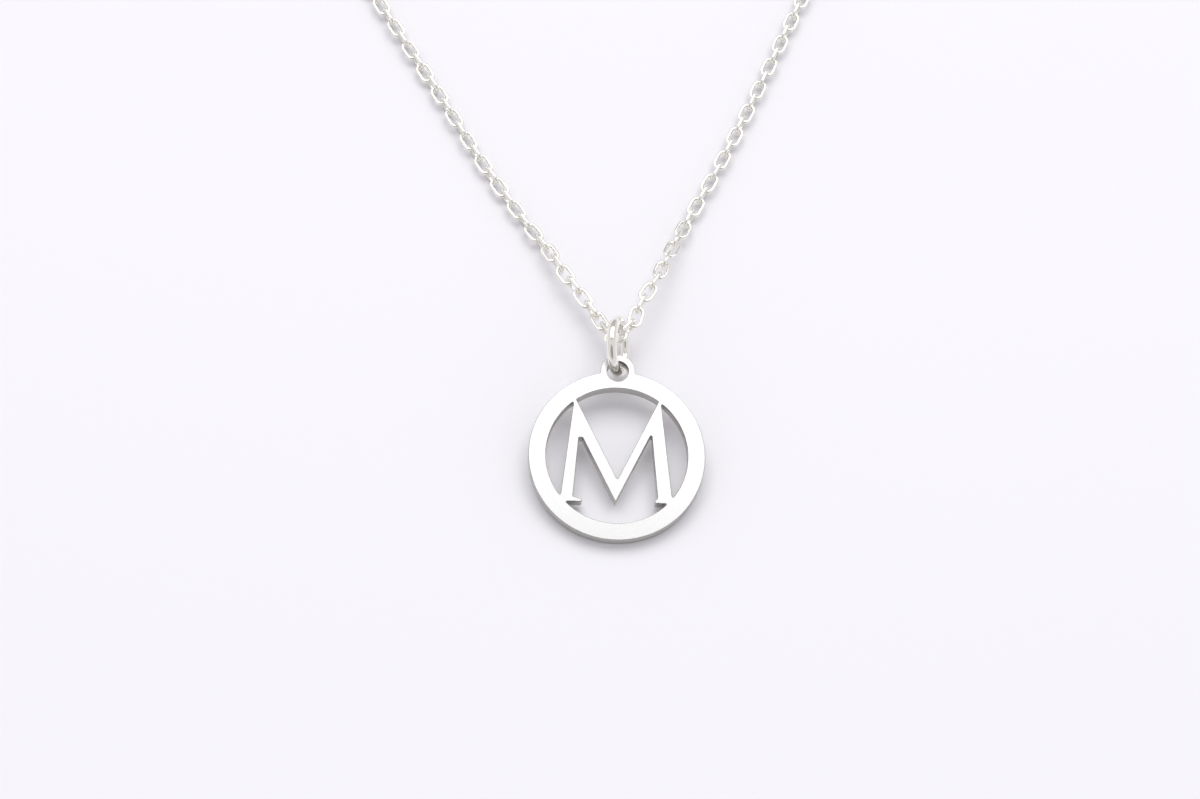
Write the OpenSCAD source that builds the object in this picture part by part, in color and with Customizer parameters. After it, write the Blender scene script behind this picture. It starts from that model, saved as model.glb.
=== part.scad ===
/* [Plate] */
// radius of the round plate over its rim
plate_radius = 6.35; // [6:0.05:7]
// width of the flat rim, measured along the radius
rim_width = 1.25; // [1:0.05:1.5]
// thickness of the plate
plate_thickness = 1; // [0.8:0.05:1.3]
// tilt of the plate where it lies, its top edge raised by the jump ring
plate_tilt = 6; // [4:0.5:8]
// radius of the drilled hole in the lug
hole_radius = 0.78; // [0.7:0.02:0.9]
// width of the metal left round the hole
lug_wall = 0.47; // [0.4:0.01:0.6]
// how far the middle of the hole lies outside the plate's round edge
hole_rise = 0.05; // [0:0.01:0.2]

/* [Letter] */
// height of the feet's undersides, from the middle of the plate
foot_height = -3.55; // [-3.8:0.05:-3.4]
// how far the pointed tops' corners reach into the rim
apex_bite = 0.29; // [0.2:0.01:0.4]
// how far the feet's outer corners reach into the rim
foot_bite = 0.28; // [0.2:0.01:0.4]
// half the distance between the pointed tops
apex_half = 3.11; // [3:0.01:3.25]
// width of the left stem at its foot
left_stem_foot = 0.9; // [0.8:0.05:1]
// width of the left stem at its top
left_stem_top = 0.6; // [0.5:0.05:0.7]
// width of the right stem at its foot
right_stem_foot = 1.06; // [0.96:0.02:1.16]
// width of the right stem at its top
right_stem_top = 0.87; // [0.77:0.02:0.97]
// width of the thick left diagonal
thick_diagonal = 0.85; // [0.75:0.05:0.95]
// width of the thin right diagonal
thin_diagonal = 0.62; // [0.52:0.02:0.72]
// height of the notch between the diagonals, from the middle of the plate
notch_height = -1.88; // [-2.1:0.02:-1.6]
// sideways offset of the notch
notch_shift = 0.06; // [0:0.02:0.1]
// height of the blunt inner corner under the thick diagonal
crotch_height = 1.27; // [1:0.01:1.3]
// length of the left foot's inward serif, from the stem
left_serif = 0.66; // [0.5:0.02:0.8]
// length of the right foot's inward serif, from the stem
right_serif = 0.23; // [0.15:0.01:0.35]
// thickness of the serifs at their tips
serif_tip = 0.18; // [0.12:0.02:0.26]
// how much the left serif's tip leans out over its lower corner
serif_slant = 0.05; // [0:0.01:0.1]
// thickness of the serifs where they leave the stems
serif_root = 0.38; // [0.3:0.02:0.5]

/* [Jump ring] */
// inner radius of the jump ring
ring_inner_radius = 1.55; // [1.45:0.05:1.65]
// thickness of the jump ring's wire
ring_wire = 0.75; // [0.65:0.05:0.8]
// lean of the jump ring out of the upright
ring_lean = 17; // [15:1:19]
// turn of the jump ring about the upright
ring_turn = -5; // [-7:0.5:-3]
// clearance between the jump ring and the lug's metal at its seat
seat_gap = 0.12; // [0.1:0.01:0.16]

/* [Chain] */
// distance from one link's middle to the next one's
link_pitch = 1.17; // [1.13:0.01:1.25]
// thickness of the links' wire
link_wire = 0.28; // [0.24:0.01:0.3]
// room inside a link beside the wire that passes through it
link_room = 0.34; // [0.3:0.01:0.4]
// clearance between two links where one hangs in the other
link_gap = 0.13; // [0.11:0.01:0.16]
// number of real links on each side of the jump ring
link_count = 32; // [24:1:36]
// sway of the links about the chain's own line
link_sway = 7; // [0:1:8]

/* [Clasp] */
// radius of the bolt ring to the middle of its wire
bolt_radius = 2.25; // [2.1:0.05:2.5]
// thickness of the bolt's wire
bolt_wire = 0.4; // [0.34:0.02:0.42]
// radius of the eye to the middle of its wire
eye_radius = 0.85; // [0.8:0.05:0.95]
// angle that the bolt ring's thick housing covers
housing_angle = 240; // [220:5:260]

/* [Hidden] */
silver = "#d9d9d7";
round_steps = 96;
wire_steps = 24;
// the lug's own sizes and place on the plate
lug_radius = hole_radius + lug_wall;
hole_height = plate_radius + hole_rise;
// height of the middle of the plate's upper face, with its lower edge on the ground
plate_top = plate_radius * sin(plate_tilt) + plate_thickness * cos(plate_tilt);
// the hole's far wall at the plate's lower face, where the jump ring pulls
wall_y = (hole_height + hole_radius) * cos(plate_tilt) + plate_thickness * sin(plate_tilt);
wall_z = plate_top + (hole_height + hole_radius) * sin(plate_tilt) - plate_thickness * cos(plate_tilt);
// the jump ring stands on the ground, its inner face close to that wall
ring_radius = ring_inner_radius + ring_wire / 2;
ring_z = ring_radius * cos(ring_lean) + ring_wire / 2;
wall_rise = (ring_z - wall_z) / cos(ring_lean);
ring_reach = sqrt(pow(ring_inner_radius - seat_gap, 2) - pow(wall_rise, 2));
ring_x = 0.03;
ring_y = wall_y + ring_reach;

// a link's inside length and width, and the radius of its round ends
link_inside = link_pitch + link_gap;
link_width = link_wire + link_room;
end_radius = (link_width + link_wire) / 2;
end_offset = (link_inside + link_wire) / 2 - end_radius;
// half the length between the outermost points of a link's wire line
link_tip = end_offset + end_radius;
// height of the chain's line where it lies on the ground
chain_z = end_radius + link_wire / 2;
// the chain's back is drawn as a tube of the links' outer width
back_rings = 40;
back_sides = 8;
back_radius = chain_z / cos(180 / back_sides);

// the clasp's housing is as thick as the chain, so both lie on the ground
housing_wire = 2 * chain_z;
eye_shift = bolt_radius + eye_radius + bolt_wire;
clasp_x = -8.45;
clasp_y = 160.8;
// where the last links' joints lie, so that the clasp's wire passes through the links' round ends
joint_shift = link_pitch / 2 - end_offset;
left_joint = clasp_x - bolt_radius + joint_shift;
right_joint = clasp_x + eye_shift + eye_radius - joint_shift;

// the chain's route as seen from above: x, y from the jump ring's far inner edge, and the share
// of the jump ring's middle height that the chain has there above its line on the ground
chain_route = concat([[left_joint, clasp_y, 0]], [
    [-17, 159.9, 0], [-26.5, 157, 0], [-40.5, 148.8, 0], [-52, 135, 0],
    [-58, 118, 0], [-58, 100.5, 0], [-53, 85.5, 0], [-46, 73.5, 0],
    [-38, 60, 0], [-31, 48.5, 0], [-24.5, 38, 0], [-18.9, 29, 0],
    [-13.9, 20.7, 0], [-9.9, 13.9, 0], [-6.6, 9.04, 0], [-5.3, 7.12, 0.21],
    [-4.11, 5, 0.5], [-2.71, 2.99, 0.5], [-1.54, 1.24, 0.53], [-0.82, -0.33, 0.84],
    [-0.46, -0.85, 0.97], [0.31, -0.62, 1.09], [1.11, 0.28, 1.1], [1.31, 0.94, 1.11],
    [1.68, 2.05, 1.1], [2.88, 4.24, 0.94], [3.61, 6.12, 0.68], [5.3, 10.04, 0],
    [7.5, 14.5, 0], [9.8, 19.5, 0], [12, 24.7, 0], [14.5, 30.5, 0],
    [18.5, 39.5, 0], [23.5, 50.5, 0], [28.5, 62, 0], [34, 74.5, 0],
    [39.5, 87.5, 0], [43.2, 101, 0], [43.2, 118, 0], [37, 135, 0],
    [25.5, 148.8, 0], [11.5, 157, 0], [2.2, 159.9, 0]
], [[right_joint, clasp_y, 0]]);
// which of these points the link inside the jump ring is centred on, and its offset from it
ring_point = 21;
ring_offset = 0.32;
// lean of the links by the jump ring, and the number of the first of them
near_leans = [1, 0, -1, 9, 9, -6, 0, 0];
near_first = -3;

// the same route in millimetres, from the middle of the plate
seat_y = ring_y + ring_inner_radius;
route = [for (p = chain_route) [p.x, seat_y + p.y, chain_z + p.z * (ring_z - chain_z)]];
curve_steps = 8;
curve = [for (p = curve_points(route, curve_steps)) [p.x, p.y, max(p.z, chain_z)]];
arcs = [for (i = 0, s = 0; i < len(curve); s = s + step_length(i), i = i + 1) s];
route_length = arcs[len(arcs) - 1];
ring_arc = arcs[ring_point * curve_steps] + ring_offset;
arcs_x = [for (i = [0:len(curve) - 1]) [arcs[i], curve[i].x]];
arcs_y = [for (i = [0:len(curve) - 1]) [arcs[i], curve[i].y]];
arcs_z = [for (i = [0:len(curve) - 1]) [arcs[i], curve[i].z]];

// the whole part's middle, so that its origin is under the middle of its box
side_min = min([for (p = curve) p.x]) - chain_z;
side_max = max([for (p = curve) p.x]) + chain_z;
front_edge = -plate_radius * cos(plate_tilt);
back_edge = seat_y + clasp_y + bolt_radius + housing_wire / 2;
middle = [-(side_min + side_max) / 2, -(front_edge + back_edge) / 2, 0];

// a smooth curve through the route's points
function blend(a, b, c, d, t) =
    0.5 * (2 * b + (c - a) * t + (2 * a - 5 * b + 4 * c - d) * t * t
    + (3 * b - a - 3 * c + d) * t * t * t);
function padded(list) =
    concat([2 * list[0] - list[1]], list, [2 * list[len(list) - 1] - list[len(list) - 2]]);
function curve_points(list, steps) =
    let(p = padded(list))
    concat([for (i = [1:len(p) - 3], k = [0:steps - 1])
        blend(p[i - 1], p[i], p[i + 1], p[i + 2], k / steps)], [list[len(list) - 1]]);
function step_length(i) = i + 1 < len(curve) ? norm(curve[i + 1] - curve[i]) : 0;
// the point of the route at a given length along it
function route_at(s) = [lookup(s, arcs_x), lookup(s, arcs_y), lookup(s, arcs_z)];

function unit(v) = v / norm(v);
// the point where the line through a and b meets the line through c and d
function meet(a, b, c, d) =
    let(u = b - a, v = d - c, w = c - a)
    a + u * ((w.x * v.y - w.y * v.x) / (u.x * v.y - u.y * v.x));
// the point at a given height on the line through a and b
function at_height(a, b, h) = a + (b - a) * ((h - a.y) / (b.y - a.y));
// a step of a given length to the right of the direction from a to b
function beside(a, b, d) = let(u = unit(b - a)) [u.y, -u.x] * d;

// the feet and the pointed tops end inside the rim, past the edge of its opening
opening_radius = plate_radius - rim_width;
foot_half = sqrt(pow(opening_radius + foot_bite, 2) - pow(foot_height, 2));
apex_height = sqrt(pow(opening_radius + apex_bite, 2) - pow(apex_half, 2));
// the letter's corners, worked out from its straight edges
left_foot = [-foot_half, foot_height];
right_foot = [foot_half, foot_height];
left_apex = [-apex_half, apex_height];
right_apex = [apex_half, apex_height];
notch = [notch_shift, notch_height];
left_in = [-foot_half + left_stem_foot, foot_height];
left_in_top = [-apex_half + left_stem_top, apex_height];
right_in = [foot_half - right_stem_foot, foot_height];
right_in_top = [apex_half - right_stem_top, apex_height];
thick_step = beside(left_apex, notch, thick_diagonal);
thin_step = beside(right_apex, notch, -thin_diagonal);
vee_bottom = meet(left_apex + thick_step, notch + thick_step, right_apex + thin_step, notch + thin_step);
left_crotch = at_height(left_in, left_in_top, crotch_height);
left_crotch_end = at_height(left_apex + thick_step, notch + thick_step, crotch_height);
right_crotch = meet(right_in, right_in_top, right_apex + thin_step, notch + thin_step);
left_serif_root = at_height(left_in, left_in_top, foot_height + serif_root);
right_serif_root = at_height(right_in, right_in_top, foot_height + serif_root);
letter_corners = [
    left_foot,
    left_in + [left_serif, 0],
    left_in + [left_serif + serif_slant, serif_tip],
    left_serif_root,
    left_crotch,
    left_crotch_end,
    vee_bottom,
    right_crotch,
    right_serif_root,
    right_in + [-right_serif, serif_tip],
    right_in + [-right_serif, 0],
    right_foot,
    right_apex,
    notch,
    left_apex
];

// the pierced plate: rim, letter and lug, cut from one piece
module pendant_plate()
    color(silver)
    translate(middle + [0, 0, plate_top])
    rotate([plate_tilt, 0, 0])
    translate([0, 0, -plate_thickness])
    linear_extrude(plate_thickness)
    plate_outline();

module plate_outline() {
    difference() {
        union() {
            circle(plate_radius, $fn = round_steps);
            translate([0, hole_height])
                circle(lug_radius, $fn = round_steps);
        }
        circle(opening_radius, $fn = round_steps);
        translate([0, hole_height])
            circle(hole_radius, $fn = round_steps);
    }
    intersection() {
        polygon(letter_corners);
        circle(plate_radius - rim_width / 2, $fn = round_steps);
    }
}

module jump_ring()
    color(silver)
    translate(middle + [ring_x, ring_y, ring_z])
    rotate([0, 0, ring_turn])
    rotate([0, 90 - ring_lean, 0])
    rotate_extrude($fn = round_steps)
    translate([ring_radius, 0])
    circle(ring_wire / 2, $fn = wire_steps);

// one link about its middle, its length along x and its flat side up
module link() {
    for (side = [-1, 1]) {
        translate([side * end_offset, 0, 0])
            rotate([0, 0, side * -90])
            rotate_extrude(angle = 180, $fn = wire_steps)
            translate([end_radius, 0])
            circle(link_wire / 2, $fn = wire_steps);
        translate([-end_offset, side * end_radius, 0])
            rotate([0, 90, 0])
            cylinder(h = 2 * end_offset, r = link_wire / 2, $fn = wire_steps);
    }
}

// one link from joint a to joint b, with its middle at a share of the way and a turn about its length
module link_between(a, b, share, turn) {
    along = unit(b - a);
    level = unit(cross([0, 0, 1], along));
    rise = cross(along, level);
    across = level * cos(turn) - rise * sin(turn);
    up = cross(along, across);
    at = middle + a + (b - a) * share;
    multmatrix([
        [along.x, across.x, up.x, at.x],
        [along.y, across.y, up.y, at.y],
        [along.z, across.z, up.z, at.z],
        [0, 0, 0, 1]
    ])
        link();
}

// every second link stands upright; the others lie flat, as the one inside the jump ring does
function is_upright(k) = k % 2 != 0;
function lean_of(k) =
    k >= near_first && k < near_first + len(near_leans) ? near_leans[k - near_first]
    : link_sway * sin(k * 137.5);
// the joint before or after a link; by the jump ring it lies at the upright links' round ends
inner_reach = link_pitch - link_tip;
near_joints = [inner_reach, inner_reach + 2 * link_tip];
function joint_arc(j) =
    ring_arc + (abs(j) < len(near_joints) ? sign(j) * near_joints[abs(j) - 0.5] : j * link_pitch);
function share_of(k) =
    k == 2 ? inner_reach / (inner_reach + link_pitch / 2)
    : k == -2 ? (link_pitch / 2) / (inner_reach + link_pitch / 2) : 0.5;

module chain_links()
    color(silver) {
        for (k = [-link_count:link_count]) {
            link_between(route_at(joint_arc(k - 0.5)), route_at(joint_arc(k + 0.5)),
                share_of(k), (is_upright(k) ? 90 : 0) + lean_of(k));
        }
        for (n = [0, 1]) {
            turn = n == 0 ? 90 : 0;
            link_between(route_at(n * link_pitch), route_at((n + 1) * link_pitch), 0.5, turn);
            link_between(route_at(route_length - (n + 1) * link_pitch),
                route_at(route_length - n * link_pitch), 0.5, turn);
        }
    }

// the hidden back of the chain: one tube on each side, between the front links and the clasp's links
front_arc = (link_count + 0.5) * link_pitch + link_tip - link_pitch / 2 + link_wire / 2 + link_gap;
clasp_arc = 2 * link_pitch + link_tip - link_pitch / 2 + link_wire / 2 + link_gap;
module chain_back()
    color(silver) {
        back_tube(clasp_arc, ring_arc - front_arc);
        back_tube(ring_arc + front_arc, route_length - clasp_arc);
    }

// a round tube swept along the route from one length to another
module back_tube(start, end) {
    spacing = (end - start) / (back_rings - 1);
    rings = [for (i = [0:back_rings - 1])
        let(
            s = start + i * spacing,
            along = unit(route_at(s + spacing / 8) - route_at(s - spacing / 8)),
            level = unit(cross([0, 0, 1], along)),
            rise = cross(along, level)
        )
        for (k = [0:back_sides - 1])
            middle + route_at(s)
            + back_radius * (level * cos((k + 0.5) * 360 / back_sides)
            + rise * sin((k + 0.5) * 360 / back_sides))];
    sides = [for (i = [0:back_rings - 2], k = [0:back_sides - 1])
        let(a = i * back_sides, next = (k + 1) % back_sides)
        [a + k, a + next, a + back_sides + next, a + back_sides + k]];
    first = [for (k = [back_sides - 1:-1:0]) k];
    last = [for (k = [0:back_sides - 1]) (back_rings - 1) * back_sides + k];
    polyhedron(points = rings, faces = concat([first], sides, [last]), convexity = 10);
}

// the hidden clasp: a bolt ring with its housing and eye, one plain piece
module clasp()
    color(silver)
    translate(middle + [clasp_x, seat_y + clasp_y, chain_z])
    union() {
        rotate_extrude($fn = round_steps)
            translate([bolt_radius, 0])
            circle(bolt_wire / 2, $fn = wire_steps);
        rotate([0, 0, -housing_angle / 2])
            rotate_extrude(angle = housing_angle, $fn = round_steps)
            translate([bolt_radius, 0])
            circle(housing_wire / 2, $fn = wire_steps);
        translate([eye_shift, 0, 0])
            rotate_extrude($fn = round_steps)
            translate([eye_radius, 0])
            circle(bolt_wire / 2, $fn = wire_steps);
    }

pendant_plate();
jump_ring();
chain_links();
chain_back();
clasp();
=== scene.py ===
"""Dresses a pierced silver initial pendant with its ring, chain and clasp, and sets the studio."""

import logging
import math
from collections.abc import Callable, Iterable, Sequence
from dataclasses import dataclass, field
from enum import Enum, IntEnum

import bpy
import numpy as np
from mathutils import Matrix, Vector
from mathutils.geometry import tessellate_polygon


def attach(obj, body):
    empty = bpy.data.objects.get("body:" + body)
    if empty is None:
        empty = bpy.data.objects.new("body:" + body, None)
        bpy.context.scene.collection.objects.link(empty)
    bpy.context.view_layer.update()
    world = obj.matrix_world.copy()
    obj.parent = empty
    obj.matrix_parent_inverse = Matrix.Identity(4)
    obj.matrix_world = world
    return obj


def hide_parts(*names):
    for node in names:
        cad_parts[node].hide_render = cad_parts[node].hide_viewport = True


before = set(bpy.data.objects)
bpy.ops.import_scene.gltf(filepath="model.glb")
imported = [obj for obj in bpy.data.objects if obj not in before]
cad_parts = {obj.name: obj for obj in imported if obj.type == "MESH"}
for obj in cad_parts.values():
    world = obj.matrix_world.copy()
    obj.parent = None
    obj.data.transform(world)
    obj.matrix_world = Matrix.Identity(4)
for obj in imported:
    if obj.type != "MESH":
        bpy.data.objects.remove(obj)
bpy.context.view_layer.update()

log = logging.getLogger("pendant")

MM = 0.001
Point = np.ndarray
Faces = list[tuple[int, ...]]
Tree = bpy.types.NodeTree
Socket = bpy.types.NodeSocket
Material = bpy.types.Material
Piece = bpy.types.Object

# The point of the surface under the plate's middle, in the frame and in millimetres. The places
# below are measured from it.
MIDDLE = np.array([7.434375, -83.639268, 0.0])
# Straight up. The middle line of every wire is drawn flat, square to it.
UP = np.array([0.0, 0.0, 1.0])


# ---------------- colours and nodes


class Tone(Enum):
    """Colours of the materials, as sRGB hex values; three of them carry painted shade."""

    STERLING = "#FCFAF5"
    # Painted shade: the satin face's tone, set low so that its mirrored light stays under white.
    SATIN_STERLING_PAINTED_SHADE = "#C3C3C3"
    # Painted shade: the grey of the cut walls.
    CUT_STERLING_PAINTED_SHADE = "#C9C7C3"
    # Painted shade: the dark tone of the edges, a thin grey outline round every cut.
    CUT_EDGE_PAINTED_SHADE = "#A9A7A4"
    WIRE_STERLING = "#F6F4EE"
    PAPER = "#F3F2F7"


def linear(tone: Tone) -> tuple[float, float, float, float]:
    """Turns an sRGB hex colour to a linear one.

    Args:
        tone: the colour to turn.

    Returns:
        Red, green, blue and alpha for a node socket.
    """
    parts = [int(tone.value[i : i + 2], 16) / 255 for i in (1, 3, 5)]
    flat = [p / 12.92 if p <= 0.04045 else ((p + 0.055) / 1.055) ** 2.4 for p in parts]
    return (flat[0], flat[1], flat[2], 1.0)


def add_node(
    tree: Tree,
    kind: str,
    settings: dict[str | int, object] | None = None,
    links: dict[str | int, Socket] | None = None,
) -> bpy.types.Node:
    """Adds one node with its settings and links.

    Args:
        tree: the node tree that gets the node.
        kind: the node's type, such as ShaderNodeMath.
        settings: values by property name, or by the name or number of an input socket.
        links: output sockets by the name or number of the input socket that they feed.

    Returns:
        The new node.
    """
    node = tree.nodes.new(kind)
    for name, value in (settings or {}).items():
        if isinstance(name, str) and hasattr(node, name):
            setattr(node, name, value)
        else:
            node.inputs[name].default_value = value
    for name, source in (links or {}).items():
        tree.links.new(source, node.inputs[name])
    return node


def empty_tree(owner: Material | bpy.types.World) -> Tree:
    """Turns on the nodes of a material or a world.

    Args:
        owner: the material or the world.

    Returns:
        Its node tree, emptied.
    """
    owner.use_nodes = True
    owner.node_tree.nodes.clear()
    return owner.node_tree


@dataclass(frozen=True)
class Fade:
    """A change from one value to another as an input grows or falls.

    Attributes:
        start: input where it begins.
        end: input where it ends.
        before: value before it.
        after: value after it.
        smooth: whether it begins and ends gently.
    """

    start: float
    end: float
    before: float
    after: float
    smooth: bool = True

    def settings(self) -> dict[str | int, object]:
        """Puts the change in the words of a Map Range node.

        Returns:
            The node's settings.
        """
        return {
            "interpolation_type": "SMOOTHSTEP" if self.smooth else "LINEAR",
            "From Min": self.start,
            "From Max": self.end,
            "To Min": self.before,
            "To Max": self.after,
        }


# ---------------- finishes

# The roughness follows noise, which stays near 0.3 to 0.7, and this share of a random number
# that each loose link has. Below is the range of the two together.
LINK_SHARE = 0.5
ROUGHNESS_RANGE = (0.3, 1.2)


class Grain(Enum):
    """How many times the marks of a finish are drawn out along each axis."""

    # Long strokes up the plate.
    BRUSHED = (1, 14, 14)
    # Short strokes through the plate's thickness.
    CUT = (1, 1, 18)
    # Long strokes along the wire, by its own map.
    DRAWN = (40, 1, 1)
    # Small dents with no direction.
    TUMBLED = (1, 1, 1)


@dataclass(frozen=True)
class SilverFinish:
    """Sterling silver with one way of finishing it.

    A metal keeps the default IOR: its colour alone sets what it reflects.

    Attributes:
        name: name of the material.
        tone: colour of the metal, with painted shade in it where the finish says so.
        roughness: how far its gloss is from a mirror.
        spread: how much the roughness wanders over the surface.
        grain: how its marks lie.
        pitch: distance between two marks, in millimetres.
        depth: depth of the marks, in millimetres.
        wave: length of the slow unevenness under the marks, in millimetres.
        swell: height of that unevenness, in millimetres.
    """

    name: str
    tone: Tone
    roughness: float
    spread: float
    grain: Grain
    pitch: float
    depth: float
    wave: float
    swell: float

    def mark_scale(self) -> tuple[float, ...]:
        """Returns how often the marks repeat per metre along each axis."""
        return tuple(1 / (self.pitch * MM) / times for times in self.grain.value)

    def material(self) -> Material:
        """Makes the material.

        Returns:
            A material whose roughness and bump come from noise in real millimetres.
        """
        made = bpy.data.materials.new(self.name)
        tree = empty_tree(made)
        place = add_node(tree, "ShaderNodeTexCoord")
        source = place.outputs["UV" if self.grain is Grain.DRAWN else "Object"]
        sized = {"Scale": self.mark_scale()}
        marks_at = add_node(tree, "ShaderNodeMapping", sized, {"Vector": source}).outputs[0]
        fine = {"Scale": 1.0, "Detail": 3.0, "Roughness": 0.6}
        marks = add_node(tree, "ShaderNodeTexNoise", fine, {"Vector": marks_at}).outputs[0]
        coarse = {"Scale": 1 / (self.wave * MM), "Detail": 1.0}
        points = {"Vector": place.outputs["Object"]}
        slow = add_node(tree, "ShaderNodeTexNoise", coarse, points).outputs[0]
        chance = add_node(tree, "ShaderNodeNewGeometry").outputs["Random Per Island"]
        adding = {"operation": "MULTIPLY_ADD", 1: LINK_SHARE}
        either = add_node(tree, "ShaderNodeMath", adding, {0: chance, 2: marks}).outputs[0]
        low, high = self.roughness - self.spread, self.roughness + self.spread
        even = Fade(*ROUGHNESS_RANGE, low, high, smooth=False).settings()
        rough = add_node(tree, "ShaderNodeMapRange", even, {"Value": either}).outputs[0]
        rise = {"Strength": 1.0, "Distance": self.swell * MM}
        swell = add_node(tree, "ShaderNodeBump", rise, {"Height": slow}).outputs[0]
        cut = {"Strength": 1.0, "Distance": self.depth * MM}
        both = {"Height": marks, "Normal": swell}
        bump = add_node(tree, "ShaderNodeBump", cut, both).outputs[0]
        shader = add_node(
            tree,
            "ShaderNodeBsdfPrincipled",
            {"Base Color": linear(self.tone), "Metallic": 1.0},
            {"Roughness": rough, "Normal": bump},
        )
        add_node(tree, "ShaderNodeOutputMaterial", links={"Surface": shader.outputs[0]})
        return made


# Rolled sterling sheet, brushed and then lightly polished: it goes nearly white under a large
# light, a little greyer towards the viewer, and shows no clear picture of the room. Its tone is
# painted shade, set well below that of polished silver so that the mirrored light stays under
# white and its fall shows. Real strokes are about 0.02 mm apart; they are drawn 0.1 mm apart,
# or none would show.
SATIN_SHEET_PAINTED_SHADE = SilverFinish(
    "SterlingSheetBrushedPaintedShade", Tone.SATIN_STERLING_PAINTED_SHADE, 0.27, 0.015, Grain.BRUSHED, 0.1, 0.0002, 3.0, 0.003
)
# The underside of the same sheet, left as it was rolled, with hardly a stroke on it: the plain
# bright sterling tone, without the face's painted shade.
ROLLED_SHEET = SilverFinish(
    "SterlingSheetRolled", Tone.STERLING, 0.27, 0.04, Grain.BRUSHED, 0.2, 0.0002, 3.0, 0.003
)
# The same sheet's rounded edges, burnished by handling. Their dark tone is painted shade: a thin
# grey line round every cut, grey where it turns to the room and bright where it turns up.
BURNISHED_EDGE_PAINTED_SHADE = SilverFinish(
    "SterlingEdgeBurnishedPaintedShade", Tone.CUT_EDGE_PAINTED_SHADE, 0.16, 0.03, Grain.TUMBLED, 0.3, 0.0004, 1.5, 0.001
)
# The walls of the cuts, left by the cutting beam, with fine strokes through the plate. Their grey
# is painted shade, darkened to the shade that the walls mirror.
CUT_WALL_PAINTED_SHADE = SilverFinish(
    "SterlingWallCutPaintedShade", Tone.CUT_STERLING_PAINTED_SHADE, 0.34, 0.06, Grain.CUT, 0.09, 0.002, 1.2, 0.002
)
# Drawn sterling wire, polished: a hard line of light beside a dark one along its length.
DRAWN_WIRE = SilverFinish(
    "SterlingWireDrawn", Tone.WIRE_STERLING, 0.13, 0.04, Grain.DRAWN, 0.06, 0.0003, 0.9, 0.002
)
# Machine-made links, soldered and tumbled bright: small glints that differ from link to link.
TUMBLED_LINK = SilverFinish(
    "SterlingLinkTumbled", Tone.WIRE_STERLING, 0.16, 0.05, Grain.TUMBLED, 0.14, 0.0015, 0.5, 0.003
)
# The clasp's formed tube, buffed: a little softer than the wire.
BUFFED_TUBE = SilverFinish(
    "SterlingTubeBuffed", Tone.WIRE_STERLING, 0.18, 0.04, Grain.TUMBLED, 0.2, 0.0005, 1.6, 0.003
)


@dataclass(frozen=True)
class PaperFinish:
    """Matt coated paper: pale and even, with a faint tooth and no gloss to speak of.

    Attributes:
        name: name of the material.
        tone: colour of the paper.
        roughness: how matt it is.
        tooth: width of its tooth, in millimetres.
        depth: depth of its tooth, in millimetres.
        ior: refractive index of its coating.
    """

    name: str = "PaperMattCoated"
    tone: Tone = Tone.PAPER
    roughness: float = 0.62
    tooth: float = 0.5
    depth: float = 0.002
    ior: float = 1.45

    def material(self) -> Material:
        """Makes the material.

        Returns:
            A pale material with a shallow tooth.
        """
        made = bpy.data.materials.new(self.name)
        tree = empty_tree(made)
        place = add_node(tree, "ShaderNodeTexCoord")
        grain = {"Scale": 1 / (self.tooth * MM), "Detail": 2.0}
        points = {"Vector": place.outputs["Object"]}
        tooth = add_node(tree, "ShaderNodeTexNoise", grain, points).outputs[0]
        rise = {"Strength": 1.0, "Distance": self.depth * MM}
        bump = add_node(tree, "ShaderNodeBump", rise, {"Height": tooth}).outputs[0]
        shader = add_node(
            tree,
            "ShaderNodeBsdfPrincipled",
            {"Base Color": linear(self.tone), "Roughness": self.roughness, "IOR": self.ior},
            {"Normal": bump},
        )
        add_node(tree, "ShaderNodeOutputMaterial", links={"Surface": shader.outputs[0]})
        return made


# ---------------- geometry

# A loop's turn in degrees from which it is a sharp corner, and the step of a corner's arc.
SHARP_TURN = 15
CORNER_STEP = 12
# Length of an edge, in support distances, from which it gets supports.
LONG_EDGE = 12
# Smallest share of a step that goes straight in, so that a sharp corner doesn't run away.
LEAST_SHARE = 0.5


def unit(vector: Point) -> Point:
    """Returns a vector made one long."""
    return vector / np.linalg.norm(vector)


def meet(a: Point, b: Point, c: Point, d: Point) -> Point:
    """Returns the point where the line through a and b crosses the one through c and d."""
    u, v, w = b - a, d - c, c - a
    return a + u * ((w[0] * v[1] - w[1] * v[0]) / (u[0] * v[1] - u[1] * v[0]))


def at_height(a: Point, b: Point, height: float) -> Point:
    """Returns the point at a given height on the line through a and b."""
    return a + (b - a) * ((height - a[1]) / (b[1] - a[1]))


def beside(a: Point, b: Point, distance: float) -> Point:
    """Returns a step of a given length to the right of the direction from a to b."""
    u = unit(b - a)
    return np.array([u[1], -u[0]]) * distance


def on_circle(a: Point, b: Point, radius: float) -> Point:
    """Finds where a line leaves a circle round the origin.

    Args:
        a: a point of the line, on the side that the search comes from.
        b: another point of the line, on the side where it leaves the circle.
        radius: radius of the circle.

    Returns:
        The crossing that is further along from a to b.
    """
    u = unit(b - a)
    along = -float(a @ u)
    foot = a + u * along
    return foot + u * math.sqrt(radius**2 - float(foot @ foot))


def arc(
    centre: Point, radius: float, start: float, end: float, step: float = 2.0
) -> list[Point]:
    """Makes the points of a circle's arc.

    Args:
        centre: middle of the circle.
        radius: its radius.
        start: angle of the first point, in degrees.
        end: angle of the last point, in degrees.
        step: largest angle between two points, in degrees.

    Returns:
        The points, both ends included.
    """
    count = max(2, math.ceil(abs(end - start) / step) + 1)
    turns = np.radians(np.linspace(start, end, count))
    return [centre + radius * np.array([math.cos(t), math.sin(t)]) for t in turns]


def angle_of(point: Point) -> float:
    """Returns a point's direction from the origin, in degrees."""
    return math.degrees(math.atan2(point[1], point[0]))


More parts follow.
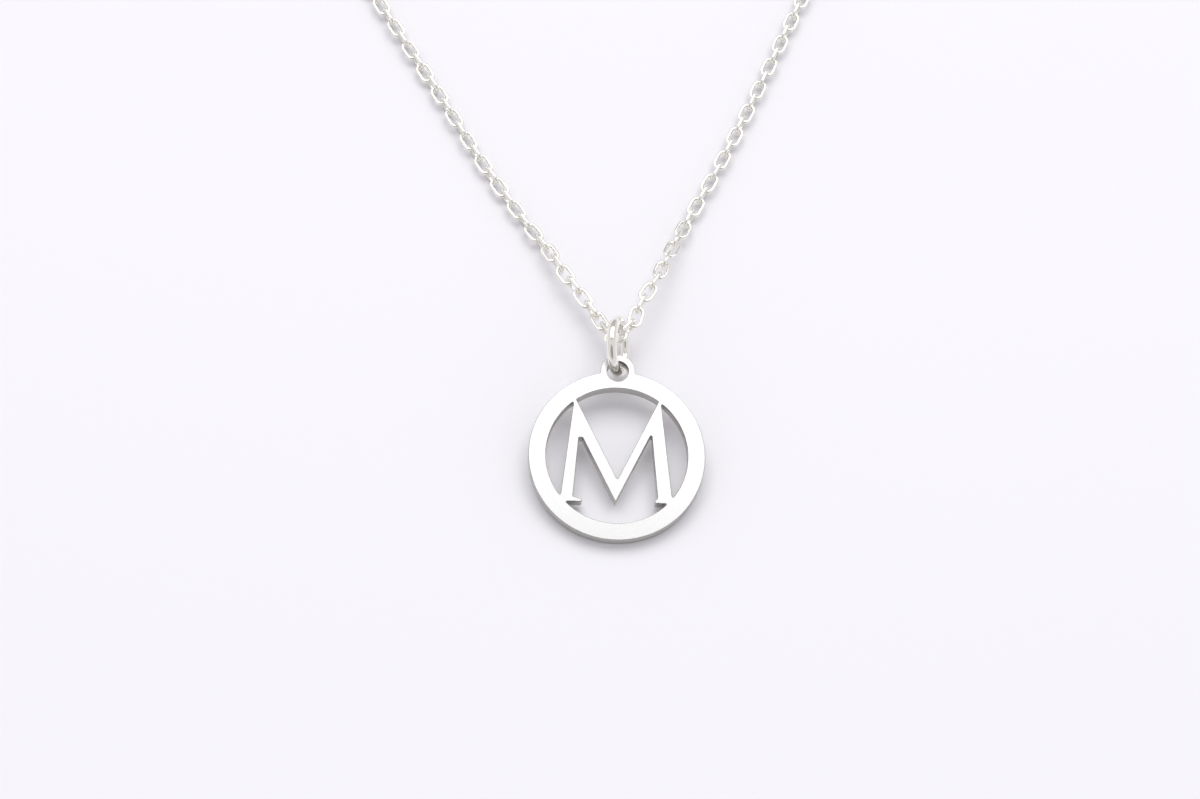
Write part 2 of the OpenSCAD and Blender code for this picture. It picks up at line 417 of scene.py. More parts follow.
def walk(loop: Sequence[Point], start: int, step: int, distance: float) -> tuple[Point, int]:
    """Walks along a closed loop of points.

    Args:
        loop: the points of the loop.
        start: number of the point to start from.
        step: 1 to walk forwards, -1 to walk backwards.
        distance: how far to walk.

    Returns:
        The point reached, and the number of the next point of the loop beyond it.
    """
    here, left, index = loop[start], distance, start
    while True:
        index = (index + step) % len(loop)
        length = float(np.linalg.norm(loop[index] - here))
        if length > left:
            return here + (loop[index] - here) * (left / length), index
        left -= length
        here = loop[index]


def rounded(loop: Sequence[Point], left_radius: float, right_radius: float) -> list[Point]:
    """Rounds the sharp corners of a closed loop.

    Args:
        loop: the points of the loop.
        left_radius: radius of the corners where the loop turns left.
        right_radius: radius of the corners where the loop turns right.

    Returns:
        The loop with an arc at each corner, and points that hold its straight edges.
    """
    count = len(loop)
    cuts: list[tuple[int, int, int, list[Point]]] = []
    for i in range(count):
        before = unit(loop[i] - loop[i - 1])
        after = unit(loop[(i + 1) % count] - loop[i])
        turn = math.atan2(before[0] * after[1] - before[1] * after[0], float(before @ after))
        if abs(turn) < math.radians(SHARP_TURN):
            continue
        reach = (left_radius if turn > 0 else right_radius) * math.tan(abs(turn) / 2)
        first, last_kept = walk(loop, i, -1, reach)
        last, next_kept = walk(loop, i, 1, reach)
        weight = math.cos(turn / 2)
        steps = max(3, math.ceil(abs(math.degrees(turn)) / CORNER_STEP))
        points = []
        for k in range(steps + 1):
            t = k / steps
            parts = ((1 - t) ** 2, 2 * t * (1 - t) * weight, t**2)
            points.append((parts[0] * first + parts[1] * loop[i] + parts[2] * last) / sum(parts))
        cuts.append((i, last_kept, next_kept, points))
    made: list[Point] = []
    for n, (corner, _, next_kept, points) in enumerate(cuts):
        last_kept = cuts[(n + 1) % len(cuts)][1]
        kept = range((next_kept - corner) % count, (last_kept - corner) % count + 1)
        made += points + [loop[(corner + k) % count] for k in kept]
    return held(made)


def held(loop: Sequence[Point], support: float = 0.03) -> list[Point]:
    """Adds a point close to each end of the long edges, so that their shading stays flat.

    Args:
        loop: the points of the loop.
        support: distance of the added points from the ends.

    Returns:
        The loop with the added points.
    """
    made: list[Point] = []
    for i, here in enumerate(loop):
        there = loop[(i + 1) % len(loop)]
        length = float(np.linalg.norm(there - here))
        made.append(here)
        if length > LONG_EDGE * support:
            step = unit(there - here) * support
            made += [here + step, there - step]
    return made


def moved_in(loop: Sequence[Point], distance: float) -> list[Point]:
    """Moves a closed loop sideways.

    Args:
        loop: the points of the loop.
        distance: how far it moves to its left.

    Returns:
        The moved loop, with as many points.
    """
    made = []
    for i, here in enumerate(loop):
        before = unit(here - loop[i - 1])
        after = unit(loop[(i + 1) % len(loop)] - here)
        normal = unit(np.array([-before[1] - after[1], before[0] + after[0]]))
        share = float(normal @ np.array([-after[1], after[0]]))
        made.append(here + normal * (distance / max(share, LEAST_SHARE)))
    return made


def piece_from(
    name: str,
    points: Iterable[Point],
    faces: Faces,
    materials: Sequence[Material],
    slots: Sequence[int] | None = None,
    flat: Sequence[bool] | None = None,
) -> Piece:
    """Makes a mesh object.

    Args:
        name: name of the object and its mesh.
        points: corners, in millimetres.
        faces: corner numbers of each face.
        materials: the object's materials.
        slots: number of the material of each face, or None where all have the first.
        flat: whether each face is shaded flat, or None where all are smooth.

    Returns:
        The object, linked to the scene.
    """
    mesh = bpy.data.meshes.new(name)
    mesh.from_pydata([tuple(float(c) * MM for c in p) for p in points], [], faces)
    for made in materials:
        mesh.materials.append(made)
    mesh.polygons.foreach_set("use_smooth", [not f for f in flat or [False] * len(faces)])
    if slots is not None:
        mesh.polygons.foreach_set("material_index", slots)
    mesh.update()
    piece = bpy.data.objects.new(name, mesh)
    bpy.context.scene.collection.objects.link(piece)
    return piece


def settle(piece: Piece, node: str) -> None:
    """Puts a piece in the frame in place of a node of the solid model.

    Args:
        piece: the finished piece.
        node: the node that it stands for.
    """
    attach(piece, "root")
    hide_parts(node)
    log.info("%s: %d faces, stands for %s", piece.name, len(piece.data.polygons), node)


@dataclass(frozen=True)
class Sweep:
    """A round wire swept along a flat line.

    Attributes:
        line: points of the wire's middle line, at height zero, in millimetres.
        sides: number of sides round the wire.
        closed: whether the line's end joins its start.
    """

    line: np.ndarray
    sides: int
    closed: bool

    def points(self, radii: np.ndarray) -> np.ndarray:
        """Makes the wire's points.

        Args:
            radii: radius of the wire at each point of the line.

        Returns:
            The points, ring after ring.
        """
        ahead = np.roll(self.line, -1, axis=0) - np.roll(self.line, 1, axis=0)
        if not self.closed:
            ahead[0] = self.line[1] - self.line[0]
            ahead[-1] = self.line[-1] - self.line[-2]
        ahead /= np.linalg.norm(ahead, axis=1)[:, None]
        across = np.cross(ahead, UP)
        across /= np.linalg.norm(across, axis=1)[:, None]
        square = np.cross(across, ahead)
        turns = np.arange(self.sides) * 2 * math.pi / self.sides
        rings = (
            self.line[:, None]
            + radii[:, None, None] * across[:, None] * np.cos(turns)[None, :, None]
            + radii[:, None, None] * square[:, None] * np.sin(turns)[None, :, None]
        )
        return rings.reshape(-1, 3)

    def faces(self) -> Faces:
        """Makes the faces between the rings, and the caps of an open wire.

        Returns:
            The corner numbers of each face.
        """
        count, sides = len(self.line), self.sides
        made: Faces = []
        for i in range(count if self.closed else count - 1):
            a, b = i * sides, (i + 1) % count * sides
            for k in range(sides):
                n = (k + 1) % sides
                made.append((a + k, b + k, b + n, a + n))
        if not self.closed:
            made.append(tuple(range(sides)))
            made.append(tuple(reversed(range((count - 1) * sides, count * sides))))
        return made


def round_line(radius: float, turns: np.ndarray) -> np.ndarray:
    """Returns the points at some angles, in radians, of a flat circle round the origin."""
    return np.stack([radius * np.cos(turns), radius * np.sin(turns), turns * 0], axis=1)


# ---------------- plate


class PlateSlot(IntEnum):
    """Numbers of the plate's materials."""

    FACE = 0
    WALL = 1
    EDGE = 2
    UNDER = 3


@dataclass
class PendantPlate:
    """The pierced plate: a rim, a serif letter inside it and a drilled lug, cut from one sheet.

    Sizes are in millimetres from the middle of the plate, and are those of its solid.

    Attributes:
        radius: radius over the rim.
        rim: width of the rim.
        thickness: thickness of the sheet.
        tilt: how far the plate's top is raised where it lies, in degrees.
        hole: radius of the drilled hole.
        lug_wall: width of the metal round the hole.
        lug_height: height of the hole's middle.
        feet: half the distance over the letter's feet, and their height.
        tops: half the distance between the letter's pointed tops, and their height.
        left_stem: width of the left stem at its foot and its top.
        right_stem: width of the right stem at its foot and its top.
        diagonals: widths of the left and the right diagonal.
        notch: the point where the diagonals meet, between the tops.
        crotch: height of the blunt corner under the left diagonal.
        serifs: lengths of the left and the right foot's inward serif.
        serif_ends: thickness of the serifs at their tips and at the stems.
        serif_slant: how much the left serif's tip leans out over its lower corner.
        corner: radius that the cutting beam leaves in the corners of the openings.
        tip: radius of the letter's points.
        fillet: radius of the corners between lug and rim.
        small_step: step of the small arcs, in degrees.
        edge: radius of the polished edges.
    """

    radius: float = 6.35
    rim: float = 1.25
    thickness: float = 1.0
    tilt: float = 6.0
    hole: float = 0.78
    lug_wall: float = 0.47
    lug_height: float = 6.4
    feet: tuple[float, float] = (4.0425, -3.55)
    tops: tuple[float, float] = (3.11, 4.4023)
    left_stem: tuple[float, float] = (0.9, 0.6)
    right_stem: tuple[float, float] = (1.06, 0.87)
    diagonals: tuple[float, float] = (0.85, 0.62)
    notch: tuple[float, float] = (0.06, -1.88)
    crotch: float = 1.27
    serifs: tuple[float, float] = (0.66, 0.23)
    serif_ends: tuple[float, float] = (0.18, 0.38)
    serif_slant: float = 0.05
    corner: float = 0.07
    tip: float = 0.07
    fillet: float = 0.12
    small_step: float = 5.0
    edge: float = 0.045

    def rim_arc(self, start: Point, end: Point) -> list[Point]:
        """Makes the points of the rim's inner edge between two points of it.

        Args:
            start: the point where it starts.
            end: the point where it ends, further round anticlockwise.

        Returns:
            The points, both ends left out.
        """
        first, last = angle_of(start), angle_of(end)
        last += 360 if last < first else 0
        return arc(np.zeros(2), self.radius - self.rim, first, last)[1:-1]

    def openings(self) -> list[list[Point]]:
        """Works out the four openings between the letter and the rim.

        Returns:
            The loops, each running anticlockwise.
        """
        inner = self.radius - self.rim
        low, mirror = self.feet[1], np.array([-1, 1])
        right_foot, right_top, notch = map(np.array, (self.feet, self.tops, self.notch))
        left_foot, left_top = right_foot * mirror, right_top * mirror
        left_in = left_foot + [self.left_stem[0], 0]
        left_in_top = left_top + [self.left_stem[1], 0]
        right_in = right_foot - [self.right_stem[0], 0]
        right_in_top = right_top - [self.right_stem[1], 0]
        thick = beside(left_top, notch, self.diagonals[0])
        thin = beside(right_top, notch, -self.diagonals[1])
        vee = meet(left_top + thick, notch + thick, right_top + thin, notch + thin)
        left_crotch = at_height(left_in, left_in_top, self.crotch)
        left_crotch_end = at_height(left_top + thick, notch + thick, self.crotch)
        right_crotch = meet(right_in, right_in_top, right_top + thin, notch + thin)
        tip, root = self.serif_ends

        left_low = on_circle(left_top, left_foot, inner)
        left_high = on_circle(left_foot, left_top, inner)
        left_sliver = [left_low, left_high, *self.rim_arc(left_high, left_low)]

        right_low = on_circle(right_top, right_foot, inner)
        right_high = on_circle(right_foot, right_top, inner)
        right_sliver = [right_high, right_low, *self.rim_arc(right_low, right_high)]

        vee_left = on_circle(notch, left_top, inner)
        vee_right = on_circle(notch, right_top, inner)
        top = [vee_left, notch, vee_right, *self.rim_arc(vee_right, vee_left)]

        foot_right = np.array([math.sqrt(inner**2 - low**2), low])
        foot_left = foot_right * mirror
        bottom = [
            foot_right,
            right_in + [-self.serifs[1], 0],
            right_in + [-self.serifs[1], tip],
            at_height(right_in, right_in_top, low + root),
            right_crotch,
            vee,
            left_crotch_end,
            left_crotch,
            at_height(left_in, left_in_top, low + root),
            left_in + [self.serifs[0] + self.serif_slant, tip],
            left_in + [self.serifs[0], 0],
            foot_left,
            *self.rim_arc(foot_left, foot_right),
        ]
        loops = (left_sliver, right_sliver, top, bottom)
        return [rounded(loop, self.corner, self.tip) for loop in loops]

    def outline(self) -> list[Point]:
        """Works out the outer edge of rim and lug.

        Returns:
            The loop, running anticlockwise.
        """
        lug, big, away = self.hole + self.lug_wall, self.radius, self.lug_height
        height = (big**2 - lug**2 + away**2) / (2 * away)
        side = math.sqrt(big**2 - height**2)
        on_rim = math.degrees(math.atan2(height, side))
        on_lug = math.degrees(math.atan2(height - away, side))
        rim = arc(np.zeros(2), big, 180 - on_rim, 360 + on_rim)
        bow = arc(np.array([0.0, away]), lug, on_lug, 180 - on_lug, self.small_step)
        return rounded([*rim[:-1], *bow[:-1]], self.tip, self.fillet)

    def lug_hole(self) -> list[Point]:
        """Works out the edge of the drilled hole, anticlockwise."""
        return arc(np.array([0.0, self.lug_height]), self.hole, 0, 360, self.small_step)[:-1]

    def profile(self) -> list[tuple[float, float]]:
        """Works out the cut through an edge of the plate.

        Returns:
            For each step from the upper face to the lower one, how far it lies inside the metal
            and its height.
        """
        turns = [math.radians(a) for a in (90, 60, 30, 0)]
        upper = [(self.edge * (1 - math.cos(t)), -self.edge * (1 - math.sin(t))) for t in turns]
        lower = [(inside, -self.thickness - height) for inside, height in reversed(upper)]
        return upper + lower

    def mesh_data(self) -> tuple[list[Point], Faces, list[int], list[bool]]:
        """Builds the plate's mesh about its own middle.

        Returns:
            Points, faces, material numbers and which faces are flat.
        """
        holes = [self.lug_hole(), *self.openings()]
        loops = [self.outline()] + [list(reversed(loop)) for loop in holes]
        profile = self.profile()
        points: list[Point] = []
        faces: Faces = []
        slots: list[int] = []
        flat: list[bool] = []
        upper: list[int] = []
        lower: list[int] = []
        for loop in loops:
            count = len(loop)
            first = len(points)
            for inside, height in profile:
                points += [np.array([p[0], p[1], height]) for p in moved_in(loop, inside)]
            for level in range(len(profile) - 1):
                a, b = first + level * count, first + (level + 1) * count
                wall = level == len(profile) // 2 - 1
                for k in range(count):
                    n = (k + 1) % count
                    faces.append((a + k, b + k, b + n, a + n))
                    slots.append(PlateSlot.WALL if wall else PlateSlot.EDGE)
                    flat.append(False)
            upper += range(first, first + count)
            lower += range(first + (len(profile) - 1) * count, first + len(profile) * count)
        sizes = np.cumsum([0] + [len(loop) for loop in loops])
        rings = [
            [Vector(points[i]) for i in upper[sizes[n] : sizes[n + 1]]] for n in range(len(loops))
        ]
        for triangle in tessellate_polygon(rings):
            a, b, c = (points[upper[i]] for i in triangle)
            cross = (b[0] - a[0]) * (c[1] - a[1]) - (b[1] - a[1]) * (c[0] - a[0])
            order = triangle if cross > 0 else tuple(reversed(triangle))
            faces.append(tuple(upper[i] for i in order))
            faces.append(tuple(lower[i] for i in reversed(order)))
            slots += [PlateSlot.FACE, PlateSlot.UNDER]
            flat += [True, True]
        return points, faces, slots, flat

    def build(self) -> None:
        """Makes the plate, lays it down with its top raised and dresses it."""
        points, faces, slots, flat = self.mesh_data()
        # In the order of PlateSlot.
        finishes = (SATIN_SHEET_PAINTED_SHADE, CUT_WALL_PAINTED_SHADE, BURNISHED_EDGE_PAINTED_SHADE, ROLLED_SHEET)
        materials = [finish.material() for finish in finishes]
        piece = piece_from("PendantPlate", points, faces, materials, slots, flat)
        slope = math.radians(self.tilt)
        face_height = self.radius * math.sin(slope) + self.thickness * math.cos(slope)
        place = Vector((MIDDLE + [0, 0, face_height]) * MM)
        piece.data.transform(Matrix.Translation(place) @ Matrix.Rotation(slope, 4, "X"))
        settle(piece, "pendant_plate")


# ---------------- jump ring


@dataclass
class JumpRing:
    """The round ring of drawn wire that joins the plate to the chain.

    Attributes:
        at: the ring's middle, from the middle of the plate, in millimetres.
        inner: inner radius.
        wire: thickness of the wire.
        lean: lean out of the upright, in degrees.
        turn: turn about the upright, in degrees.
        seam: angle along the ring where the wire's ends meet, in degrees.
        seam_depth: depth of the fine groove there.
        seam_width: width of that groove.
        seam_points: where the line has points by the seam, in widths of the groove.
        steps: number of points along the ring.
        sides: number of sides round the wire.
    """

    at: tuple[float, float, float] = (0.03, 8.40375, 2.215887)
    inner: float = 1.55
    wire: float = 0.75
    lean: float = 17.0
    turn: float = -5.0
    seam: float = 302.0
    seam_depth: float = 0.02
    seam_width: float = 0.03
    seam_points: tuple[float, ...] = (-3, -1.2, -0.5, 0, 0.5, 1.2, 3)
    steps: int = 160
    sides: int = 36

    def build(self) -> None:
        """Makes the ring with its seam, stands it up and dresses it."""
        radius = self.inner + self.wire / 2
        near = np.array(self.seam_points) * self.seam_width / radius
        even = np.arange(1, self.steps) * 2 * math.pi / self.steps
        even = even[(even > 2 * near[-1]) & (even < 2 * math.pi - 2 * near[-1])]
        line = round_line(radius, np.concatenate([near, even]) + math.radians(self.seam))
        from_seam = np.concatenate([near * radius, np.full(len(even), math.inf)])
        groove = np.exp(-2 * (from_seam / self.seam_width) ** 2)
        sweep = Sweep(line, self.sides, True)
        points = sweep.points(self.wire / 2 - self.seam_depth * groove)
        piece = piece_from("JumpRing", points, sweep.faces(), [DRAWN_WIRE.material()])
        lay_uv(piece, len(line), self.sides, radius * 2 * math.pi, self.wire * math.pi)
        piece.data.transform(
            Matrix.Translation(Vector((MIDDLE + self.at) * MM))
            @ Matrix.Rotation(math.radians(self.turn), 4, "Z")
            @ Matrix.Rotation(math.radians(90 - self.lean), 4, "Y")
        )
        settle(piece, "jump_ring")


def lay_uv(piece: Piece, steps: int, sides: int, length: float, girth: float) -> None:
    """Lays a map in metres on a closed wire, along it and round it.

    Args:
        piece: the wire's object, its faces in order along it and round it.
        steps: number of rings along the wire.
        sides: number of sides round it.
        length: length of the wire, in millimetres.
        girth: length once round the wire, in millimetres.
    """
    layer = piece.data.uv_layers.new(name="WireMap")
    corners = ((0, 0), (1, 0), (1, 1), (0, 1))
    values = []
    for number in range(len(piece.data.polygons)):
        i, k = divmod(number, sides)
        for along, round_it in corners:
            values += [(i + along) / steps * length * MM, (k + round_it) / sides * girth * MM]
    layer.data.foreach_set("uv", values)


# ---------------- chain


# Step of the sway's angle from one link to the next, in degrees: no two near links sway alike.
GOLDEN_ANGLE = 137.5


@dataclass
class CableChain:
    """The cable chain: round-ended wire links, every second one upright, on one route.

    The route and the links are those of the chain's solids. The hidden back, which the solids
    show as a plain tube, has the same links here.

    Attributes:
        pitch: distance from one link's middle to the next, in millimetres.
        wire: thickness of the wire.
        room: room inside a link beside the wire that passes through it.
        gap: clearance between two links.
        front: number of links on each side of the one in the jump ring.
        sway: sway of the links about the chain's line, in degrees.
        near_leans: lean of the links by the jump ring, one after the other.
        near_first: number of the first of those links.
        seat: the jump ring's far inner edge, from the middle of the plate.
        ring_height: height of the jump ring's middle.
        ring_point: number of the route point in the jump ring.
        ring_offset: how far past it the link in the jump ring is centred.
        joints: where the route starts and ends, at the clasp, from the seat.
        slim: share of their width that the hidden links have, so that they stay in the solid tube.
        route: x, y from the seat, and share of the ring's height, of the points between.
        curve_steps: number of steps of the curve from one route point to the next.
        straight: share of a link's straight sides that lies between their two inner points.
        curve: points of the smooth curve through the route.
        arcs: length along the curve up to each of them.
    """

    pitch: float = 1.17
    wire: float = 0.28
    room: float = 0.34
    gap: float = 0.13
    front: int = 32
    sway: float = 7.0
    near_leans: tuple[float, ...] = (1, 0, -1, 9, 9, -6, 0, 0)
    near_first: int = -3
    seat: float = 9.95375
    ring_height: float = 2.215887
    ring_point: int = 21
    ring_offset: float = 0.32
    joints: tuple[tuple[float, float], ...] = ((-10.455, 160.8), (-4.345, 160.8))
    slim: float = 0.95
    # fmt: off
    route: tuple[tuple[float, float, float], ...] = (
        (-17, 159.9, 0), (-26.5, 157, 0), (-40.5, 148.8, 0), (-52, 135, 0),
        (-58, 118, 0), (-58, 100.5, 0), (-53, 85.5, 0), (-46, 73.5, 0),
        (-38, 60, 0), (-31, 48.5, 0), (-24.5, 38, 0), (-18.9, 29, 0),
        (-13.9, 20.7, 0), (-9.9, 13.9, 0), (-6.6, 9.04, 0), (-5.3, 7.12, 0.21),
        (-4.11, 5, 0.5), (-2.71, 2.99, 0.5), (-1.54, 1.24, 0.53), (-0.82, -0.33, 0.84),
        (-0.46, -0.85, 0.97), (0.31, -0.62, 1.09), (1.11, 0.28, 1.1), (1.31, 0.94, 1.11),
        (1.68, 2.05, 1.1), (2.88, 4.24, 0.94), (3.61, 6.12, 0.68), (5.3, 10.04, 0),
        (7.5, 14.5, 0), (9.8, 19.5, 0), (12, 24.7, 0), (14.5, 30.5, 0),
        (18.5, 39.5, 0), (23.5, 50.5, 0), (28.5, 62, 0), (34, 74.5, 0),
        (39.5, 87.5, 0), (43.2, 101, 0), (43.2, 118, 0), (37, 135, 0),
        (25.5, 148.8, 0), (11.5, 157, 0), (2.2, 159.9, 0),
    )
    # fmt: on
    curve_steps: int = 8
    straight: float = 0.35
    curve: np.ndarray = field(init=False)
    arcs: np.ndarray = field(init=False)

    def __post_init__(self) -> None:
        """Works out the smooth curve through the route and the lengths along it."""
        low = self.outer_radius()
        ends = [(x, y, 0.0) for x, y in self.joints]
        rows = np.array([ends[0], *self.route, ends[1]], float)
        points = np.stack(
            [rows[:, 0], self.seat + rows[:, 1], low + rows[:, 2] * (self.ring_height - low)],
            axis=1,
        )
        padded = np.vstack([2 * points[0] - points[1], points, 2 * points[-1] - points[-2]])
        made = []
        for i in range(1, len(padded) - 2):
            a, b, c, d = padded[i - 1 : i + 3]
            for t in np.arange(self.curve_steps) / self.curve_steps:
                curl = (2 * a - 5 * b + 4 * c - d) * t**2 + (3 * b - a - 3 * c + d) * t**3
                made.append(0.5 * (2 * b + (c - a) * t + curl))
        made.append(points[-1])
        self.curve = np.array(made)
        self.curve[:, 2] = np.maximum(self.curve[:, 2], low)
        steps = np.linalg.norm(np.diff(self.curve, axis=0), axis=1)
        self.arcs = np.concatenate([[0], np.cumsum(steps)])

    def outer_radius(self) -> float:
        """Returns half the outer width of a link."""
        return self.end_radius() + self.wire / 2

    def end_radius(self) -> float:
        """Returns the radius of the wire's middle line at a link's round ends."""
        return (2 * self.wire + self.room) / 2

    def end_offset(self) -> float:
        """Returns how far a link's round ends are centred from its middle."""
        return (self.pitch + self.gap + self.wire) / 2 - self.end_radius()

    def at(self, length: float) -> Point:
        """Returns the point at a length along the route."""
        return np.array([np.interp(length, self.arcs, self.curve[:, i]) for i in range(3)])

    def link_shape(self, bends: int, sides: int) -> tuple[np.ndarray, Faces]:
        """Builds one link about its middle, its length along x and its flat side up.

        Args:
            bends: number of steps round each end.
            sides: number of sides round the wire.

        Returns:
            The link's points and faces.
        """
        offset, radius = self.end_offset(), self.end_radius()
        line = []
        for side in (1, -1):
            turns = np.radians(np.linspace(-90, 90, bends + 1))
            ends = np.stack([offset + radius * np.cos(turns), radius * np.sin(turns)], axis=1)
            line += [*(side * ends), side * np.array([self.straight * offset, radius])]
            line.append(side * np.array([-self.straight * offset, radius]))
        sweep = Sweep(np.array([[p[0], p[1], 0.0] for p in line]), sides, True)
        return sweep.points(np.full(len(line), self.wire / 2)), sweep.faces()

    def placed(
        self, shape: np.ndarray, start: Point, end: Point, share: float, turn: float
    ) -> np.ndarray:
        """Places a link between two joints of the chain.

        Args:
            shape: the link's points about its middle.
            start: the joint before it.
            end: the joint after it.
            share: where between the joints its middle lies.
            turn: turn about its length, in degrees.

        Returns:
            The placed points.
        """
        along = unit(end - start)
        level = unit(np.cross(UP, along))
        rise = np.cross(along, level)
        angle = math.radians(turn)
        across = level * math.cos(angle) - rise * math.sin(angle)
        up = np.cross(along, across)
        return MIDDLE + start + (end - start) * share + shape @ np.stack([along, across, up])

    def lean(self, number: int) -> float:
        """Works out how far a link is turned about its length.

        Args:
            number: the link's number from the jump ring, below zero on the left.

        Returns:
            The turn in degrees: its lean or sway, and a quarter turn for every second link.
        """
        place = number - self.near_first
        if 0 <= place < len(self.near_leans):
            lean = self.near_leans[place]
        else:
            lean = self.sway * math.sin(math.radians(number * GOLDEN_ANGLE))
        return lean + (90 if number % 2 else 0)

    def middle(self) -> float:
        """Returns the length along the route at which the link in the jump ring is centred."""
        return self.arcs[self.ring_point * self.curve_steps] + self.ring_offset

    def front_links(self, shape: np.ndarray) -> list[np.ndarray]:
        """Places the links of the front, and the last two at each side of the clasp.

        Args:
            shape: a link's points about its middle.

        Returns:
            The points of each link.
        """
        middle = self.middle()
        tip = self.end_offset() + self.end_radius()
        inner = self.pitch - tip
        # The links beside the one in the jump ring are placed by their own ends, because the
        # route bends most there.
        near = {0.5: inner, 1.5: inner + 2 * tip}
        half = self.pitch / 2
        shares = {2: inner / (inner + half), -2: half / (inner + half)}
        made = []
        for k in range(-self.front, self.front + 1):
            joints = []
            for j in (k - 0.5, k + 0.5):
                away = math.copysign(near.get(abs(j), abs(j) * self.pitch), j)
                joints.append(self.at(middle + away))
            made.append(self.placed(shape, *joints, shares.get(k, 0.5), self.lean(k)))
        total = self.arcs[-1]
        for n, turn in ((0, 90.0), (1, 0.0)):
            for ends in ((n, n + 1), (total / self.pitch - n - 1, total / self.pitch - n)):
                joints = [self.at(e * self.pitch) for e in ends]
                made.append(self.placed(shape, *joints, 0.5, turn))
        return made

    def back_links(self, shape: np.ndarray) -> list[np.ndarray]:
        """Places the links of the hidden back, which carry on the front's at both ends.

        Args:
            shape: a link's points about its middle.

        Returns:
            The points of each link.
        """
        middle = self.middle()
        reach = (self.front + 0.5) * self.pitch
        spans = (
            (middle - reach, 2 * self.pitch, -1),
            (middle + reach, self.arcs[-1] - 2 * self.pitch, 1),
        )
        made = []
        for start, end, side in spans:
            # An odd number, so that flat and upright links take turns right up to the clasp.
            count = 2 * round((abs(end - start) / self.pitch - 1) / 2) + 1
            joints = [self.at(s) for s in np.linspace(start, end, count + 1)]
            for n in range(count):
                turn = self.lean(side * (self.front + 1 + n))
                made.append(self.placed(shape, joints[n], joints[n + 1], 0.5, turn))
        return made

    def assemble(self, name: str, node: str, bends: int, sides: int, back: bool) -> None:
        """Joins placed links in one piece and dresses it.

        Args:
            name: name of the piece.
            node: the node that it stands for.
            bends: number of steps round each link's ends.
            sides: number of sides round the wire.
            back: whether these are the links of the hidden back.
        """
        shape, link_faces = self.link_shape(bends, sides)
        slim = np.array([1.0, self.slim, self.slim])
        links = self.back_links(shape * slim) if back else self.front_links(shape)
        starts = range(0, len(links) * len(shape), len(shape))
        faces = [tuple(first + i for i in face) for first in starts for face in link_faces]
        piece = piece_from(name, np.concatenate(links), faces, [TUMBLED_LINK.material()])
        settle(piece, node)

    def build(self) -> None:
        """Makes the front of the chain, and its hidden back with fewer steps."""
        self.assemble("ChainFront", "chain_links", bends=10, sides=12, back=False)
        self.assemble("ChainBack", "chain_back", bends=8, sides=8, back=True)


# ---------------- clasp


@dataclass
class BoltRing:
    """The hidden clasp: a bolt ring with a thick housing and an eye, one plain piece.

    Attributes:
        at: its middle, from the middle of the plate, in millimetres.
        radius: radius to the middle of the wire.
        wire: thickness of the bolt's wire.
        housing: thickness of the housing.
        housing_angle: angle that the housing covers, in degrees.
        eye_radius: radius of the eye to the middle of its wire.
        eye_shift: distance from the bolt ring's middle to the eye's.
        end_round: rounding of the housing's ends.
        steps: numbers of points along the housing, the bolt and the eye.
        sides: numbers of sides round the housing and round the thin wires.
    """

    at: tuple[float, float, float] = (-8.45, 170.75375, 0.59)
    radius: float = 2.25
    wire: float = 0.4
    housing: float = 1.17
    housing_angle: float = 240.0
    eye_radius: float = 0.85
    eye_shift: float = 3.5
    end_round: float = 0.12
    steps: tuple[int, int, int] = (72, 96, 56)
    sides: tuple[int, int] = (32, 20)

    def ring(self, name: str, radius: float, steps: int) -> Piece:
        """Makes a closed round ring of the thin wire about its own middle.

        Args:
            name: name of the ring.
            radius: radius to the middle of its wire.
            steps: number of points along it.

        Returns:
            The ring, with no material.
        """
        line = round_line(radius, np.arange(steps) * 2 * math.pi / steps)
        sweep = Sweep(line, self.sides[1], True)
        return piece_from(name, sweep.points(np.full(steps, self.wire / 2)), sweep.faces(), [])

    def housing_tube(self) -> Piece:
        """Makes the thick part of the ring, its ends softly rounded.

        Returns:
            The tube, with no material.
        """
        half, steps = math.radians(self.housing_angle / 2), self.steps[0]
        lead = self.end_round / self.radius
        bow = [math.radians(a) for a in (30, 60, 90)]
        last = [half - lead * (1 - math.sin(t)) for t in bow]
        shrink = [self.end_round * (1 - math.cos(t)) for t in bow]
        middle = np.linspace(-half + lead, half - lead, steps)
        turns = [-t for t in reversed(last)] + list(middle) + last
        radii = self.housing / 2 - np.array(shrink[::-1] + [0] * steps + shrink)
        sweep = Sweep(round_line(self.radius, np.array(turns)), self.sides[0], False)
        return piece_from("ClaspHousing", sweep.points(radii), sweep.faces(), [])

    def build(self) -> None:
        """Makes the clasp as one closed piece and dresses it."""
        housing = self.housing_tube()
        bolt = self.ring("ClaspBolt", self.radius, self.steps[1])
        eye = self.ring("ClaspEye", self.eye_radius, self.steps[2])
        eye.location.x = self.eye_shift * MM
        for part in (bolt, eye):
            joined = housing.modifiers.new(part.name, "BOOLEAN")
            joined.operation, joined.solver, joined.object = "UNION", "EXACT", part
        bpy.context.view_layer.update()
        whole = housing.evaluated_get(bpy.context.evaluated_depsgraph_get())
        mesh = bpy.data.meshes.new_from_object(whole)
        mesh.name = "Clasp"
        mesh.materials.clear()
        mesh.materials.append(BUFFED_TUBE.material())
        for part in (housing, bolt, eye):
            bpy.data.objects.remove(part)
        piece = bpy.data.objects.new("Clasp", mesh)
        bpy.context.scene.collection.objects.link(piece)
        piece.location = Vector((MIDDLE + self.at) * MM)
        settle(piece, "clasp")


# ---------------- studio


